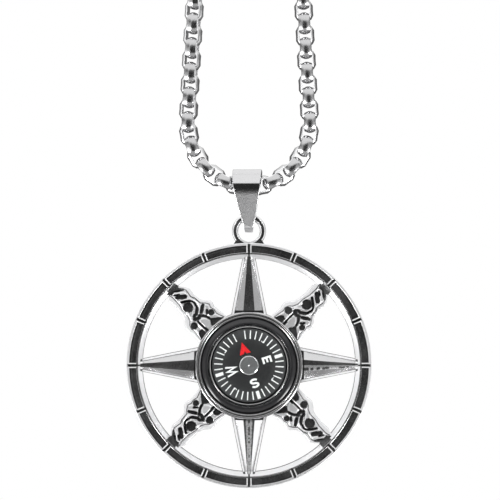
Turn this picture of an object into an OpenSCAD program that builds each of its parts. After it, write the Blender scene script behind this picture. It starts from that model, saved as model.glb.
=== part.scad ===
// Compass pendant on a folded bail and a 50 cm round box chain, hung from a peg.
// Millimetres, +Z up. The front faces -Y. The origin is where the chain rests on its peg.
// The pendant's own pieces are drawn lying face up, x to the right, y up and z towards
// the viewer, and stand() turns them upright at the end of the chain.

/* [Ring] */
// Outer diameter of the ring
ring_d = 45; // [44:0.5:46]
// Width of the raised outer rim
rim_w = 0.5; // [0.4:0.05:0.6]
// Width of the dark channel inside the rim
channel_w = 1.25; // [1:0.05:1.4]
// Depth of the channel
channel_depth = 0.6; // [0.4:0.05:0.8]
// Width of the sloping flange inside the channel
flange_w = 1.15; // [1:0.05:1.3]
// Front to back thickness of the ring
ring_t = 3; // [2.8:0.1:3.4]
// Number of crossbars over the channel
bar_count = 16; // [8:8:16]
// Width of one of the two ribs of a crossbar
bar_rib_w = 0.3; // [0.25:0.05:0.35]
// Width of the groove between the two ribs
bar_groove_w = 0.42; // [0.35:0.01:0.5]

/* [Rays and arms] */
// Width of a ray's flat border at the cup
ray_base_w = 6.6; // [6:0.1:7]
// Width of a ray's flat border at the ring
ray_tip_w = 2.3; // [2:0.1:2.6]
// Width of a ray's raised wedge at the cup
wedge_base_w = 5.4; // [5:0.1:5.8]
// Width of a ray's raised wedge at the ring
wedge_tip_w = 1.3; // [1.1:0.1:1.5]
// Width of the dark band along a ray at the cup
band_base_w = 2; // [1.6:0.1:2.2]
// Width of the dark band along a ray at the ring
band_tip_w = 0.55; // [0.4:0.05:0.7]
// Height of a ray's wedge over the border at the cup
wedge_base_h = 1.6; // [1.4:0.1:1.8]
// Height of a ray's wedge over the border at the ring
wedge_tip_h = 0.9; // [0.8:0.1:1]
// Height of the scroll relief over the border
scroll_h = 0.95; // [0.8:0.05:1.1]

/* [Cup and compass] */
// Outer diameter of the cup
cup_d = 19.8; // [19.6:0.1:20]
// Inner diameter of the cup
cup_bore = 17.7; // [17.6:0.1:17.8]
// Gap round the compass case in the cup
case_gap = 0.1; // [0.05:0.05:0.15]
// Diameter of the well in the compass case
well_d = 14.4; // [14.2:0.1:14.6]
// Diameter of the lens
lens_d = 15.1; // [15:0.1:15.3]
// Thickness of the lens
lens_t = 0.65; // [0.5:0.05:0.7]
// Diameter of the turning card
card_d = 13.5; // [13.3:0.1:13.6]
// Thickness of the card
card_t = 0.25; // [0.2:0.05:0.3]
// Turn of the card as it is stored, anticlockwise from the front
card_turn = 17.5; // [0:0.5:360]
// Diameter of the pivot cap
cap_d = 3.55; // [3.4:0.05:3.7]

/* [Loop and bail] */
// Outer diameter of the loop on the ring
loop_d = 6; // [5.8:0.1:6.2]
// Width of the loop's metal seen from the front
loop_w = 0.85; // [0.8:0.05:0.9]
// Front to back depth of the loop's metal
loop_t = 1.2; // [1:0.1:1.3]
// Height of the loop's centre over the ring's centre
loop_up = 24.7; // [24.5:0.1:25]
// Outer radius of the rolled top of the bail
bail_r = 3; // [2.95:0.05:3.1]
// Thickness of the bail's strip
bail_t = 0.5; // [0.45:0.05:0.55]
// Half of the bail's depth over the bend at the leaves' ends
leaf_end = 1.5; // [1.4:0.05:1.55]
// Drop from the roll's centre to the bend at the leaves' ends
leaf_drop = 7.5; // [7.3:0.1:7.6]
// Drop from the roll's centre to the bail's tip
tip_drop = 8.4; // [8.3:0.1:8.5]
// Width of the bail over its rolled top
bail_w = 5.4; // [5.2:0.1:5.5]
// Width of the bail at its tip
tip_w = 1.25; // [1.1:0.05:1.4]
// Turn of the bail about the vertical, seen from above
bail_yaw = -7; // [-8:1:8]

/* [Chain] */
// Length of the whole loop of chain
chain_length = 500; // [450:10:500]
// Distance from one link to the next
link_pitch_near = 2.28; // [2.24:0.01:2.3]
// Length of a link
link_l = 3.78; // [3.74:0.02:3.8]
// Width of a link
link_w = 3.5; // [3.46:0.02:3.52]
// Thickness of a link's strip
link_t = 0.58; // [0.54:0.02:0.6]
// Breadth of a link's strip
strip_w = 1.75; // [1.7:0.05:1.8]
// Radius of the bottom of the chain's curve
curve_r = 10.8; // [10.5:0.1:12]
// Radius of the curve's two sides
side_r = 12.2; // [12:0.1:13]
// Inward lean of the strands over the curve, in degrees
strand_lean = 3.2; // [2:0.1:3.5]
// Length of the leaning stretch
lean_l = 30; // [25:1:35]
// Turn of the left strand about its own line
left_twist = 15; // [0:1:16]
// Turn of the right strand about its own line
right_twist = 8; // [0:1:16]

/* [Hidden] */
$fn = 48;
eps = 0.05;

// Ring, seen in section: radii outwards, heights towards the viewer
ring_r = ring_d / 2;
face_z = ring_t / 2;
rim_in = ring_r - rim_w;
channel_in = rim_in - channel_w;
step_w = 0.25;
flange_out = channel_in - step_w;
flange_in = flange_out - flange_w + step_w;
floor_z = face_z - channel_depth;
flange_z = 0.5;
edge_chamfer = 0.2;
groove_end = ring_r - 0.15;

// The flat border plate that carries the rays and arms
plate_back = -1.1;
plate_z = 0.3;
plate_in = 9.2;
plate_out = flange_in + 0.6;
ray_in = 10.05;
ray_out = flange_out + 0.1;
ear_w = 2.3;
ear_z = 0.9;

// Cup and what it holds
cup_r = cup_d / 2;
bore_r = cup_bore / 2;
cup_back = -1.9;
cup_floor = -1.1;
cup_rim_z = 2.5;
case_r = bore_r - case_gap;
case_back = cup_floor + 0.05;
case_edge_z = 2.0;
case_top_z = 2.35;
well_floor = -0.35;
seat_z = case_top_z - lens_t - 0.05;
lens_seat_r = lens_d / 2 + 0.08;
card_z = 0.75;
card_top = card_z + card_t;
mark_h = 0.05;
pin_r = 0.3;
pin_top = 1.05;
hub_r = 0.8;
hub_bore_r = 0.42;
cap_top = card_top + 0.35;

// Dial marks, radii from the pivot
tick_in = 4.9;
tick_out = 6.4;
tick_w = 0.2;
main_tick_w = 0.6;
letter_r = 3.45;
letter_h = 1.72;
stroke = 0.28;
arrow_tip_r = 4.4;
arrow_base_r = 2.2;
arrow_half_w = 1.05;
arrow_notch = 0.5;

// Bail and loop
roll_up = 33;
leaf_start = 20;
tip_half = 0.55;

// Chain: half of the loop, from its lowest point up to the peg, as arcs and lines
link_count = 2 * round(chain_length / 2 / link_pitch_near);
link_pitch = chain_length / link_count;
link_corner = 1.1;
back_r = 400;
roll_over_chain = 0.15;
low_part = [
    [curve_r * 45 * PI / 180, 45],
    [side_r * (45 + strand_lean) * PI / 180, 45 + strand_lean],
    [lean_l, 0],
    [back_r * strand_lean * PI / 180, -strand_lean],
];
low_length = total(low_part);
low_end = walk(low_length, low_part);
peg_r = low_end[0];
half_path = concat(low_part, [
    [chain_length / 2 - low_length - peg_r * PI / 2, 0],
    [peg_r * PI / 2, 90],
]);
path_height = walk(chain_length / 2, half_path)[1];
chain_low = link_w / 2 - path_height;
roll_z = chain_low + roll_over_chain;
ring_z = roll_z - roll_up;
twist_start = 25;
twist_end = 70;
untwist_l = 60;
clasp_link = 123;
clasp_reach = 2;
clasp_r = 2.4;
clasp_bulge = 0.6;

// Length of a table of path pieces, each [length, turn in degrees]
function total(table, k = 0) = k == len(table) ? 0 : table[k][0] + total(table, k + 1);

// The state [x, z, heading] after one piece of path from the state p
function step(p, length, turn) =
    turn == 0
    ? [p[0] + length * cos(p[2]), p[1] + length * sin(p[2]), p[2]]
    : let (r = length / (turn * PI / 180))
      [p[0] + r * (sin(p[2] + turn) - sin(p[2])), p[1] - r * (cos(p[2] + turn) - cos(p[2])), p[2] + turn];

// The state at distance s along a table of path pieces
function walk(s, table, k = 0, p = [0, 0, 0]) =
    s <= table[k][0] || k == len(table) - 1
    ? step(p, s, table[k][1] * s / table[k][0])
    : walk(s - table[k][0], table, k + 1, step(p, table[k][0], table[k][1]));

// The state of link i: the left half mirrors the right half
function link_state(i) =
    let (s = i * link_pitch)
    s <= chain_length / 2
    ? walk(s, half_path)
    : let (m = walk(chain_length - s, half_path)) [-m[0], m[1], -m[2]];

function ramp(t) = let (c = max(0, min(1, t))) c * c * (3 - 2 * c);

// How far link i is turned about the chain's own line
function link_twist(i) =
    let (s = i * link_pitch, right = s <= chain_length / 2, h = right ? s : chain_length - s)
    (right ? -right_twist : left_twist) * ramp(h / twist_start) * (1 - ramp((h - twist_end) / untwist_l));

// Carries a drawing that lies face up to its upright place on the ring's centre
module stand() {
    translate([0, 0, ring_z]) rotate([90, 0, 0]) children();
}

// A plane rounded box with true arcs at its corners
module rounded_box(l, w, r) {
    square([l - 2 * r, w], center = true);
    square([l, w - 2 * r], center = true);
    for (x = [-1, 1], y = [-1, 1]) translate([x * (l / 2 - r), y * (w / 2 - r)]) circle(r);
}

// A plane slot with round ends from point a to point b
module slot(a, b, w) {
    d = b - a;
    for (p = [a, b]) translate(p) circle(w / 2);
    translate(a) rotate(atan2(d[1], d[0])) translate([0, -w / 2]) square([norm(d), w]);
}

// The ring's band: outer rim, sunk channel, inner step and sloping flange
module ring_band() {
    rotate_extrude($fn = 96) polygon([
        [flange_in, -face_z],
        [ring_r - edge_chamfer, -face_z],
        [ring_r, -face_z + edge_chamfer],
        [ring_r, face_z - edge_chamfer / 2],
        [ring_r - edge_chamfer / 2, face_z],
        [rim_in, face_z],
        [rim_in, floor_z],
        [channel_in, floor_z],
        [channel_in, face_z - 0.1],
        [flange_out, face_z - 0.1],
        [flange_in, flange_z],
    ]);
}

// One crossbar's two ribs, on the ring's +X side
module bar_ribs() {
    for (side = [-1, 1])
        translate([flange_out, side * (bar_groove_w + bar_rib_w) / 2 - bar_rib_w / 2, 0])
            cube([rim_in - flange_out + eps, bar_rib_w, face_z - 0.1]);
}

// One crossbar's groove, which runs out over both rims to a point
module bar_groove() {
    h = bar_groove_w / 2;
    translate([0, 0, floor_z]) linear_extrude(1) polygon([
        [flange_out - eps, -h],
        [groove_end - h, -h],
        [groove_end, 0],
        [groove_end - h, h],
        [flange_out - eps, h],
    ]);
}

// A tapering block along +X: half widths and top heights at its two ends
module wedge(x0, x1, low0, low1, top0, top1, z_low, z0, z1) {
    polyhedron(
        points = [
            [x0, -low0, z_low], [x0, low0, z_low], [x0, top0, z0], [x0, -top0, z0],
            [x1, -low1, z_low], [x1, low1, z_low], [x1, top1, z1], [x1, -top1, z1],
        ],
        faces = [
            [0, 1, 2, 3], [7, 6, 5, 4], [4, 5, 1, 0], [6, 7, 3, 2],
            [6, 2, 1], [5, 6, 1], [4, 0, 3], [7, 4, 3],
        ]
    );
}

// One straight ray, along +X: flat border, raised wedge and the ears at its tip
module ray() {
    translate([0, 0, plate_back]) linear_extrude(plate_z - plate_back) polygon([
        [plate_in, -ray_base_w / 2],
        [plate_out, -ray_tip_w / 2],
        [plate_out, ray_tip_w / 2],
        [plate_in, ray_base_w / 2],
    ]);
    translate([flange_in - 0.15, -ear_w / 2, 0]) cube([flange_out - flange_in, ear_w, ear_z]);
    wedge(
        ray_in, ray_out,
        wedge_base_w / 2, wedge_tip_w / 2,
        band_base_w / 2, band_tip_w / 2,
        plate_z - eps, plate_z + wedge_base_h, plate_z + wedge_tip_h
    );
}

// Border outline of one scroll arm, along +X
module arm_border() {
    polygon([
        [8.9, -3.5], [11.2, -3.2], [12.2, -3.1], [13.0, -3.4], [13.6, -3.25], [14.3, -2.5],
        [15.0, -2.1], [16.4, -1.95], [17.8, -2.15], [18.7, -1.6], [19.3, -1.05], [plate_out, -1.4],
        [plate_out, 2.0], [19.4, 1.75], [18.7, 2.1], [16.8, 2.0], [15.2, 2.15], [14.3, 2.45],
        [13.7, 3.0], [13.0, 3.45], [12.2, 3.5], [11.6, 3.3], [8.9, 3.5],
    ]);
}

// Raised outline of one scroll arm
module arm_relief() {
    polygon([
        [9.6, -2.75], [11.0, -2.35], [11.8, -2.5], [12.6, -2.3], [13.2, -2.6], [13.9, -2.1],
        [14.4, -1.65], [15.8, -1.6], [16.8, -1.25], [17.8, -1.4], [18.4, -1.15], [19.2, -0.45],
        [20.0, -0.6], [20.0, 1.75], [19.3, 1.35], [18.6, 1.35], [17.0, 1.35], [15.8, 1.55],
        [14.2, 1.65], [13.4, 1.95], [12.9, 2.55], [12.2, 2.8], [11.6, 2.65], [10.6, 2.65], [9.6, 2.95],
    ]);
}

// Pits and slots of one scroll arm: the pit under the leaf, the two side pits,
// the crescents between the ridges and the two corners next to the cup
module arm_pits() {
    difference() {
        translate([15.6, 0.5]) circle(0.98);
        translate([14.85, 1.2]) circle(0.75);
    }
    translate([12.25, 2.05]) circle(0.5);
    translate([11.8, -1.9]) circle(0.45);
    slot([12.35, -1.0], [12.6, -1.45], 0.4);
    slot([13.05, 1.0], [12.85, 0.05], 0.4);
    slot([12.85, 0.0], [13.8, -1.55], 0.5);
    slot([12.4, -0.35], [11.7, -0.7], 0.36);
    slot([13.6, 0.35], [14.25, -0.6], 0.45);
    slot([17.1, 0.6], [16.7, -0.05], 0.3);
    slot([16.6, -0.2], [16.0, -0.75], 0.28);
    slot([18.3, 0.5], [17.5, -0.5], 0.6);
    polygon([[9.95, 2.5], [10.5, 2.35], [10.9, 1.85], [10.7, 1.65], [10.0, 1.65]]);
    polygon([[9.95, -0.35], [11.15, -0.85], [10.6, -1.8], [9.95, -2.35]]);
}

// One scroll arm with its pad at the ring
module scroll_arm() {
    translate([0, 0, plate_back]) linear_extrude(plate_z - plate_back) arm_border();
    translate([0, 0, plate_z - eps]) linear_extrude(scroll_h + eps) difference() {
        arm_relief();
        arm_pits();
    }
}

// The cup: floor, wall and stepped rim
module cup() {
    rotate_extrude($fn = 96) polygon([
        [0, cup_back],
        [cup_r - 0.6, cup_back],
        [cup_r, cup_back + 0.6],
        [cup_r, cup_rim_z - 0.3],
        [cup_r - 0.15, cup_rim_z],
        [cup_r - 0.45, cup_rim_z],
        [cup_r - 0.6, cup_rim_z - 0.25],
        [cup_r - 0.75, cup_rim_z - 0.1],
        [bore_r, cup_rim_z - 0.1],
        [bore_r, cup_floor],
        [0, cup_floor],
    ]);
}

// The loop over the ring and its two feet
module hanging_loop() {
    translate([0, loop_up]) rotate_extrude() polygon([
        [loop_d / 2 - loop_w, -loop_t / 2 + 0.2],
        [loop_d / 2 - loop_w + 0.2, -loop_t / 2],
        [loop_d / 2 - 0.2, -loop_t / 2],
        [loop_d / 2, -loop_t / 2 + 0.2],
        [loop_d / 2, loop_t / 2 - 0.2],
        [loop_d / 2 - 0.2, loop_t / 2],
        [loop_d / 2 - loop_w + 0.2, loop_t / 2],
        [loop_d / 2 - loop_w, loop_t / 2 - 0.2],
    ]);
    for (side = [0, 1]) mirror([side, 0, 0])
        translate([0, 0, -loop_t / 2]) linear_extrude(loop_t) polygon([
            [1.1, 21.9], [3.2, 21.7], [3.2, 22.3], [2.6, 22.7], [2.0, 23.0], [1.2, 22.6],
        ]);
}

// Ring, rays, scroll arms, cup and loop in one cast piece
module casting() {
    color("silver") stand() difference() {
        union() {
            ring_band();
            for (k = [0 : bar_count - 1]) rotate([0, 0, k * 360 / bar_count]) bar_ribs();
            for (k = [0 : 3]) rotate([0, 0, k * 90]) {
                ray();
                rotate([0, 0, 45]) scroll_arm();
            }
            cup();
            hanging_loop();
        }
        for (k = [0 : bar_count - 1]) rotate([0, 0, k * 360 / bar_count]) bar_groove();
    }
}

// Black case of the compass, with its pivot pin
module case() {
    color("#202022") stand() rotate_extrude($fn = 96) polygon([
        [0, case_back],
        [case_r, case_back],
        [case_r, case_edge_z],
        [case_r - 0.2, case_edge_z + 0.15],
        [lens_seat_r + 0.15, case_top_z],
        [lens_seat_r, case_top_z],
        [lens_seat_r, seat_z],
        [well_d / 2, seat_z],
        [well_d / 2, well_floor],
        [pin_r, well_floor],
        [pin_r, pin_top - 0.3],
        [0, pin_top],
    ]);
}

// Upright letters, each centred, its top along +Y
module letter_e() {
    w = letter_h * 0.68;
    translate([-w / 2, -letter_h / 2]) {
        square([stroke, letter_h]);
        for (y = [0, (letter_h - stroke) / 2, letter_h - stroke]) translate([0, y]) square([w, stroke]);
    }
}

module letter_s() {
    r = (letter_h + stroke) / 4;
    for (half = [0, 1]) rotate(half * 180) translate([0, r - stroke / 2]) difference() {
        circle(r);
        circle(r - stroke);
        rotate(-90) square(2 * r);
    }
}

module letter_w() {
    w = letter_h * 0.46;
    top = letter_h / 2;
    mid = top * 0.9;
    h = stroke * 0.55;
    inner = 2 * h / w;
    polygon([
        [-w - h, top], [-w + h, top], [-w / 2, -top + letter_h * inner], [-h, mid],
        [h, mid], [w / 2, -top + letter_h * inner], [w - h, top], [w + h, top],
        [w / 2 + h, -top], [w / 2 - h, -top], [0, mid - (mid + top) * inner],
        [-w / 2 + h, -top], [-w / 2 - h, -top],
    ]);
}

// The card's printed marks: a tick each ten degrees, thick ones at east, south and west,
// and letters whose tops point outwards. North is along +Y.
module dial_marks() {
    for (k = [1 : 35]) {
        main = k % 9 == 0;
        w = main ? main_tick_w : tick_w;
        rotate(-10 * k) translate([-w / 2, main ? tick_in - 0.15 : tick_in]) square([w, tick_out - tick_in]);
    }
    rotate(-90) translate([0, letter_r]) letter_e();
    rotate(180) translate([0, letter_r]) letter_s();
    rotate(90) translate([0, letter_r]) letter_w();
}

// The turning card with its raised marks
module card() {
    color("#2a2a2c") stand() rotate([0, 0, card_turn]) {
        translate([0, 0, card_z]) difference() {
            cylinder(d = card_d, h = card_t, $fn = 96);
            translate([0, 0, -1]) cylinder(r = hub_r + 0.05, h = 2 + card_t);
        }
        translate([0, 0, card_top - eps]) linear_extrude(mark_h + eps) dial_marks();
    }
}

// The red arrowhead at north
module north_arrow() {
    color("red") stand() rotate([0, 0, card_turn]) translate([0, 0, card_top + 0.02])
        linear_extrude(0.08) polygon([
            [0, arrow_tip_r],
            [-arrow_half_w, arrow_base_r],
            [-0.25, arrow_base_r + 0.05],
            [0, arrow_base_r + arrow_notch],
            [0.25, arrow_base_r + 0.05],
            [arrow_half_w, arrow_base_r],
        ]);
}

// The cap that carries the card on the pin
module pivot_cap() {
    color("gray") stand() difference() {
        union() {
            translate([0, 0, card_top + 0.05]) cylinder(d = cap_d, h = cap_top - card_top - 0.05);
            translate([0, 0, 0.3]) cylinder(r = hub_r, h = card_top);
        }
        cylinder(r = hub_bore_r, h = pin_top + 0.12);
    }
}

// The clear lens, bevelled at its edge
module lens() {
    bevel = 0.3;
    color([0.8, 0.9, 1, 0.3]) stand() translate([0, 0, seat_z + 0.02]) rotate_extrude($fn = 96) polygon([
        [0, 0],
        [lens_d / 2, 0],
        [lens_d / 2, lens_t - bevel],
        [lens_d / 2 - bevel, lens_t],
        [0, lens_t],
    ]);
}

// A block along X with the bail's side view: a roll of radius r whose two leaves slope
// down to half width w at their bend and on to half width close_w where they close
module bail_block(l, r, w, close_drop, close_w) {
    side = (r - eps) * cos(leaf_start);
    drop = (r - eps) * sin(leaf_start);
    rotate([0, 90, 0]) cylinder(r = r, h = l, center = true, $fn = 96);
    rotate([90, 0, 90]) linear_extrude(l, center = true) polygon([
        [side, -drop], [w, -leaf_drop], [close_w, -close_drop],
        [-close_w, -close_drop], [-w, -leaf_drop], [-side, -drop],
    ]);
}

// Half of the bail's front outline: [half width, height over the roll's centre]
bail_outline = [
    [bail_w / 2, bail_r + 0.1], [bail_w / 2 - 0.05, bail_r * 0.8], [bail_w / 2 - 0.35, -0.35],
    [bail_w / 2 - 0.55, -1.5], [tip_w / 2 + 0.15, -leaf_drop], [tip_w / 2, -tip_drop - 0.1],
];

// The folded bail: a strip rolled round the chain and pinched under the loop
module bail() {
    color("silver") translate([0, 0, roll_z]) rotate([0, 0, bail_yaw]) intersection() {
        difference() {
            bail_block(bail_w + 1, bail_r, leaf_end, tip_drop, tip_half);
            bail_block(bail_w + 2, bail_r - bail_t, leaf_end - bail_t - 0.03, leaf_drop + 0.35, 0.05);
        }
        rotate([90, 0, 0]) linear_extrude(4 * bail_r, center = true) polygon(concat(
            bail_outline,
            [for (k = [len(bail_outline) - 1 : -1 : 0]) [-bail_outline[k][0], bail_outline[k][1]]]
        ));
    }
}

// One link along X: a rounded ring of flat strip
module link() {
    rotate([90, 0, 0]) linear_extrude(strip_w, center = true) difference() {
        rounded_box(link_l, link_w, link_corner);
        square([link_l - 2 * link_t, link_w - 2 * link_t], center = true);
    }
}

// Carries a drawing along X to the place of link i, turned as that link is
module at_link(i) {
    p = link_state(i);
    translate([p[0], 0, chain_low + p[1]]) rotate([0, -p[2], 0]) rotate([link_twist(i), 0, 0]) children();
}

// The chain: odd links lie in the plane of the loop, even ones across it
module chain() {
    color("lightgray")
        for (i = [0 : link_count - 1])
            if (abs(i - clasp_link) > clasp_reach)
                at_link(i) rotate([i % 2 == 0 ? 90 : 0, 0, 0]) link();
}

// The closed clasp as one plain piece with an eye at each end
module clasp() {
    reach = clasp_reach * link_pitch;
    eye_l = link_l / 2 - link_t;
    color("silver") at_link(clasp_link) rotate([90, 0, 0]) linear_extrude(strip_w, center = true) difference() {
        union() {
            for (side = [-1, 1]) translate([side * reach, 0]) rounded_box(link_l, link_w, link_corner);
            square([2 * reach, link_w], center = true);
            translate([0, -clasp_bulge]) circle(clasp_r);
        }
        for (side = [-1, 1]) translate([side * (reach + eye_l / 2), 0])
            square([eye_l, link_w - 2 * link_t], center = true);
        slot([-1.2, -clasp_bulge], [1.2, -clasp_bulge], 1.2);
    }
}

casting();
case();
card();
north_arrow();
pivot_cap();
lens();
bail();
chain();
clasp();
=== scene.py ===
# Looks of the compass pendant on its chain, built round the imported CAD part. Blender 4.5.
# Shapes are worked out in millimetres. The pendant's own pieces are drawn lying face up:
# x to the right, y up, z towards the viewer.
import math

import bmesh
import bpy
import numpy as np
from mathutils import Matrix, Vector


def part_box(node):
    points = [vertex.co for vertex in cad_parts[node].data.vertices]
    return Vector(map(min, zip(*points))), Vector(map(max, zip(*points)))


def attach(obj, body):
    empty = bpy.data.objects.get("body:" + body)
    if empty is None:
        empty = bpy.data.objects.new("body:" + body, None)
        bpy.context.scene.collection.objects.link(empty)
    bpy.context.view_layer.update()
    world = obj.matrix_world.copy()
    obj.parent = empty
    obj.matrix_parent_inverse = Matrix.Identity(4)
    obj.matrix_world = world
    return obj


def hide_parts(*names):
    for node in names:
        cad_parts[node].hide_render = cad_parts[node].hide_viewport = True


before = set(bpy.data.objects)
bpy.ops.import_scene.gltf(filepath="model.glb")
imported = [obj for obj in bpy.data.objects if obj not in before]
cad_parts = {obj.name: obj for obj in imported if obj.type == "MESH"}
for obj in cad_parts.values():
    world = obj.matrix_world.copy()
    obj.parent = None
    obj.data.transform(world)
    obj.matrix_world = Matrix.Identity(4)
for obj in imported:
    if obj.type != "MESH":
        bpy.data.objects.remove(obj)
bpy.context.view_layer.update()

scene = bpy.context.scene
millimetre = 0.001

# Heights in millimetres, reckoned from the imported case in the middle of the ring
caseLow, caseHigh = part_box("case")
ringZ = (caseLow.z + caseHigh.z) / 2 / millimetre
rollZ = ringZ + 33.0        # centre of the bail's roll
chainLow = rollZ - 0.15     # lowest point of the chain's centre line


def smooth(low, high, x):
    # 0 below low, 1 above high, and the cubic 3t^2 - 2t^3 between them
    t = np.clip((x - low) / (high - low), 0, 1)
    return t * t * (3 - 2 * t)


def turned(points, degrees):
    # Each point turned about the z axis by an angle, anticlockwise
    a = math.radians(degrees)
    x, y, z = points[..., 0], points[..., 1], points[..., 2]
    return np.stack([x * math.cos(a) - y * math.sin(a), x * math.sin(a) + y * math.cos(a), z], -1)


def stood(points):
    # Face-up (x, y, z) becomes upright (x, -z, ring centre + y)
    return np.stack([points[..., 0], -points[..., 2], points[..., 1] + ringZ], -1)


def unit(vectors):
    # Each vector brought to a length of 1
    return vectors / np.linalg.norm(vectors, axis=-1, keepdims=True)


def filleted(corners, steps=3):
    # Corners are (across, up, fillet). Each one of the closed outline becomes a parabola that
    # touches both of its sides, with one more point on each side just past it, which keeps
    # the sides flat when shaded
    corners, fillet = np.hsplit(np.asarray(corners, float), [2])
    before, after = np.roll(corners, 1, 0) - corners, np.roll(corners, -1, 0) - corners
    lengthBefore = np.linalg.norm(before, axis=1, keepdims=True)
    lengthAfter = np.linalg.norm(after, axis=1, keepdims=True)
    reach = np.minimum(fillet, 0.45 * np.minimum(lengthBefore, lengthAfter))
    start, end = corners + before / lengthBefore * reach, corners + after / lengthAfter * reach
    s = np.linspace(0, 1, steps + 1)[None, :, None]
    curve = (1 - s) ** 2 * start[:, None] + 2 * s * (1 - s) * corners[:, None] + s ** 2 * end[:, None]
    past = np.where(reach > 0, np.minimum(reach * 0.1 + 0.01, 0.02), 0)
    curve = np.concatenate([(start + before / lengthBefore * past)[:, None], curve,
                            (end + after / lengthAfter * past)[:, None]], 1)
    return curve.reshape(-1, 2)


def wholeTurn(count):
    # Angles once round, in equal steps
    return np.linspace(0, 2 * math.pi, count, endpoint=False)


def lathe(profile, angles):
    # (radius, height) of the profile carried round the z axis
    r, z = profile[None, :, 0], profile[None, :, 1]
    a = angles[:, None]
    return np.stack([r * np.cos(a), r * np.sin(a), z + 0 * a], -1)


def segmentDistance(x, y, path):
    # Least distance from each (x, y) to the straight pieces of a path
    best = np.full(np.shape(x), 1e9)
    for (ax, ay), (bx, by) in zip(path[:-1], path[1:]):
        dx, dy = bx - ax, by - ay
        t = np.clip(((x - ax) * dx + (y - ay) * dy) / (dx * dx + dy * dy + 1e-12), 0, 1)
        best = np.minimum(best, np.hypot(x - ax - t * dx, y - ay - t * dy))
    return best


def insideDistance(x, y, outline):
    # Distance to a closed outline, positive inside it, where a ray crosses it an odd number of times
    closed = list(outline) + [outline[0]]
    crossings = np.zeros(np.shape(x), int)
    for (ax, ay), (bx, by) in zip(closed[:-1], closed[1:]):
        spans = (ay > y) != (by > y)
        crossings += spans & (x < ax + (y - ay) * (bx - ax) / (by - ay + 1e-12))
    return segmentDistance(x, y, closed) * np.where(crossings % 2 == 1, 1, -1)


def gridFaces(rows, columns, closeRows, closeColumns):
    # Quads of a rows x columns grid of vertices, wrapped where it closes
    i = np.arange(rows if closeRows else rows - 1)[:, None]
    j = np.arange(columns if closeColumns else columns - 1)[None, :]
    ni, nj = (i + 1) % rows, (j + 1) % columns
    quads = np.stack([i * columns + j, ni * columns + j, ni * columns + nj, i * columns + nj], -1)
    return quads.reshape(-1, 4)


class Shape:
    # Vertices, faces and two numbers per vertex: oxide, from 0 for polished to 1 for dark skin,
    # and satin, from 0 for mirror to 1 for frosted
    def __init__(self):
        self.points, self.faces, self.count = [], [], 0
        self.numbers = {"oxide": [], "satin": []}

    def hold(self, points, faces, numbers):
        # points is a table of vertices, over which each of the numbers can be spread
        self.faces += faces
        for name, held in self.numbers.items():
            held.append(np.broadcast_to(numbers.get(name, 0.0), points.shape[:2]).ravel())
        self.points.append(points.reshape(-1, 3))
        self.count += len(self.points[-1])
        return self

    def addGrid(self, points, closeRows=False, closeColumns=True, caps=False, **numbers):
        # points is rows x columns x 3, and caps close the first and the last row
        rows, columns = points.shape[:2]
        faces = (gridFaces(rows, columns, closeRows, closeColumns) + self.count).tolist()
        if caps:
            faces.append(list(range(self.count, self.count + columns)))
            last = self.count + (rows - 1) * columns
            faces.append(list(range(last + columns - 1, last - 1, -1)))
        return self.hold(points, faces, numbers)

    def addCopies(self, points, faces, **numbers):
        # points is copies x vertices x 3, and faces are those of one copy
        copies, size = points.shape[:2]
        shifted = faces[None] + (np.arange(copies) * size)[:, None, None] + self.count
        return self.hold(points, shifted.reshape(-1, faces.shape[1]).tolist(), numbers)


def spun(profile, count, **numbers):
    # A closed (radius, height) profile carried once round, as a shape that stands upright
    return Shape().addGrid(stood(lathe(profile, wholeTurn(count))), closeRows=True, **numbers)


def repaint(name, material):
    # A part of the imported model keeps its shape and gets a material
    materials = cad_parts[name].data.materials
    materials.clear()
    materials.append(material)
    print(f"{name}: repainted")


def makePiece(name, shape, body, material, replaced, sharpAngle=35):
    # One mesh object at the origin, in metres, closed, with its faces turned outwards
    mesh = bpy.data.meshes.new(name)
    mesh.from_pydata((np.concatenate(shape.points) * millimetre).tolist(), [], shape.faces)
    for number, values in shape.numbers.items():
        mesh.attributes.new(number, "FLOAT", "POINT").data.foreach_set(
            "value", np.concatenate(values).astype(np.float32))
    work = bmesh.new()
    work.from_mesh(mesh)
    bmesh.ops.remove_doubles(work, verts=work.verts, dist=2e-7)
    bmesh.ops.dissolve_degenerate(work, dist=1e-7, edges=work.edges)
    bmesh.ops.recalc_face_normals(work, faces=work.faces)
    work.to_mesh(mesh)
    work.free()
    mesh.shade_smooth()
    mesh.set_sharp_from_angle(angle=math.radians(sharpAngle))
    mesh.materials.append(material)
    piece = bpy.data.objects.new(name, mesh)
    scene.collection.objects.link(piece)
    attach(piece, body)
    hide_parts(*replaced)
    print(f"{name}: {len(mesh.polygons)} faces")


class Signal:
    # A node's output, on which + - * / and ** add Math nodes
    def __init__(self, shop, socket):
        self.shop, self.socket = shop, socket

    def __add__(self, other):
        return self.shop.math("ADD", self, other)

    def __radd__(self, other):
        return self.shop.math("ADD", other, self)

    def __sub__(self, other):
        return self.shop.math("SUBTRACT", self, other)

    def __rsub__(self, other):
        return self.shop.math("SUBTRACT", other, self)

    def __mul__(self, other):
        return self.shop.math("MULTIPLY", self, other)

    def __rmul__(self, other):
        return self.shop.math("MULTIPLY", other, self)

    def __truediv__(self, other):
        return self.shop.math("DIVIDE", self, other)

    def __pow__(self, other):
        return self.shop.math("POWER", self, other)


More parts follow.
